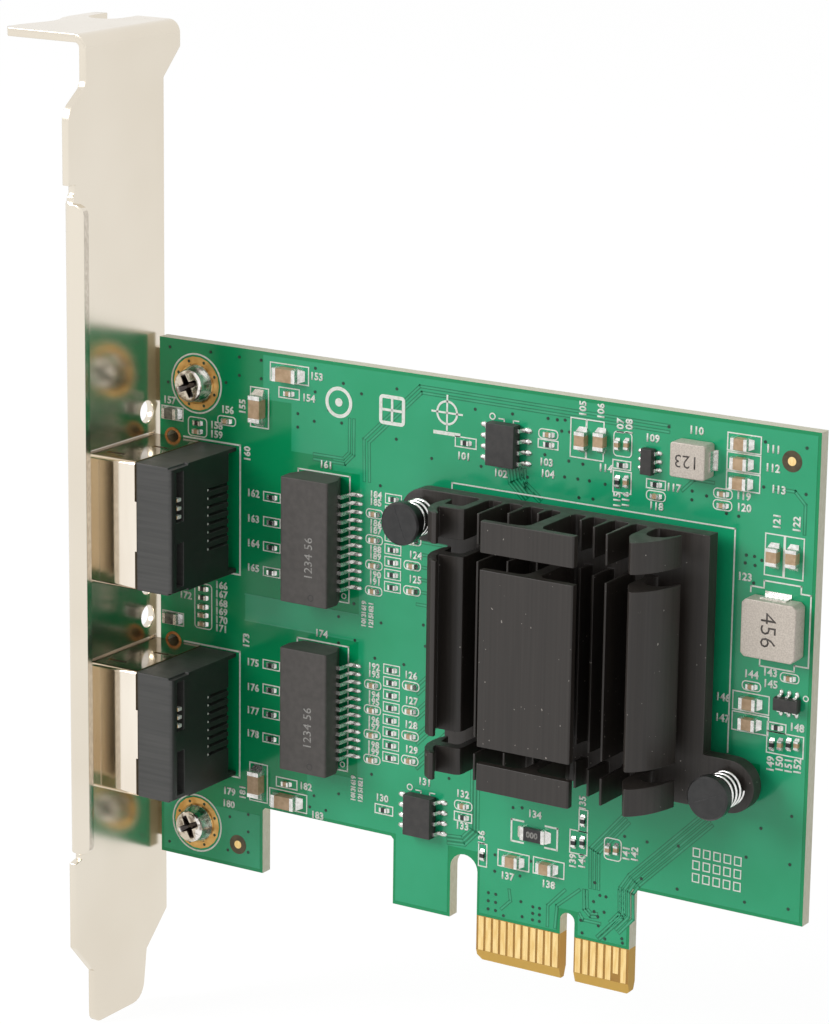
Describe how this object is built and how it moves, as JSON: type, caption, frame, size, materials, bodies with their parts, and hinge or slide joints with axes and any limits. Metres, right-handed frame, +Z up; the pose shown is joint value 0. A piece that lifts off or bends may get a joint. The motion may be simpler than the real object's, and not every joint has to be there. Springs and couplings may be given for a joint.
{
  "type": "network interface card",
  "caption": "Network interface card: board with network jacks, full height slot bracket, finned heatsink on push pins and edge contacts.",
  "frame": {"origin": "middle of the key notch in the edge contacts, at the contacts' bottom edge, on the board's middle plane", "axes": "+X along the board away from the bracket, +Y through the board away from the parts, +Z up out of the slot"},
  "size_m": [0.1005, 0.022, 0.1201],
  "materials": {
    "board": "green solder mask over glass laminate, satin",
    "gold_contact": "gold plated, bright",
    "nickel_steel": "nickel plated sheet, smooth satin",
    "screw_steel": "nickel plated, bright",
    "can_steel": "bright plated sheet",
    "jack_plastic": "black moulding",
    "package_black": "black moulding",
    "transformer_black": "black moulding, fine grain",
    "lead_tin": "tinned",
    "heatsink_black": "black anodised",
    "pin_black": "black moulding",
    "spring_steel": "bright wire",
    "pad_grey": "soft thermal pad",
    "inductor_grey": "pressed powder, warm grey",
    "capacitor_tan": "tan ceramic",
    "resistor_black": "black glaze",
    "led_clear": "clear moulding"
  },
  "bodies": {
    "root": {"bracket": "nickel_steel", "bracket_screws": "screw_steel", "circuit_board": "board", "config_chip_body": "package_black", "config_chip_leads": "lead_tin", "controller_chip": "package_black", "edge_contacts_back": "gold_contact", "edge_contacts_front": "gold_contact", "heatsink": "heatsink_black", "inductor_large_body": "inductor_grey", "inductor_large_terminals": "lead_tin", "inductor_small_body": "inductor_grey", "inductor_small_terminals": "lead_tin", "jack_housing_lower": "jack_plastic", "jack_housing_upper": "jack_plastic", "jack_shield_lower": "can_steel", "jack_shield_upper": "can_steel", "jack_wires_lower": "gold_contact", "jack_wires_upper": "gold_contact", "jumper_resistor_body": "resistor_black", "jumper_resistor_ends": "lead_tin", "large_capacitor_bodies": "capacitor_tan", "large_capacitor_ends": "lead_tin", "medium_capacitor_bodies": "capacitor_tan", "medium_capacitor_ends": "lead_tin", "memory_chip_body": "package_black", "memory_chip_leads": "lead_tin", "push_pin_lower": "pin_black", "push_pin_spring_lower": "spring_steel", "push_pin_spring_upper": "spring_steel", "push_pin_upper": "pin_black", "regulator_chip_body": "package_black", "regulator_chip_leads": "lead_tin", "screw_pads": "gold_contact", "small_capacitor_bodies": "capacitor_tan", "small_capacitor_ends": "lead_tin", "small_resistor_bodies": "resistor_black", "small_resistor_ends": "lead_tin", "status_led_bodies": "led_clear", "status_led_ends": "lead_tin", "switch_chip_body": "package_black", "switch_chip_leads": "lead_tin", "thermal_pad": "pad_grey", "transformer_body_lower": "transformer_black", "transformer_body_upper": "transformer_black", "transformer_leads_lower": "lead_tin", "transformer_leads_upper": "lead_tin"}
  },
  "joints": []
}
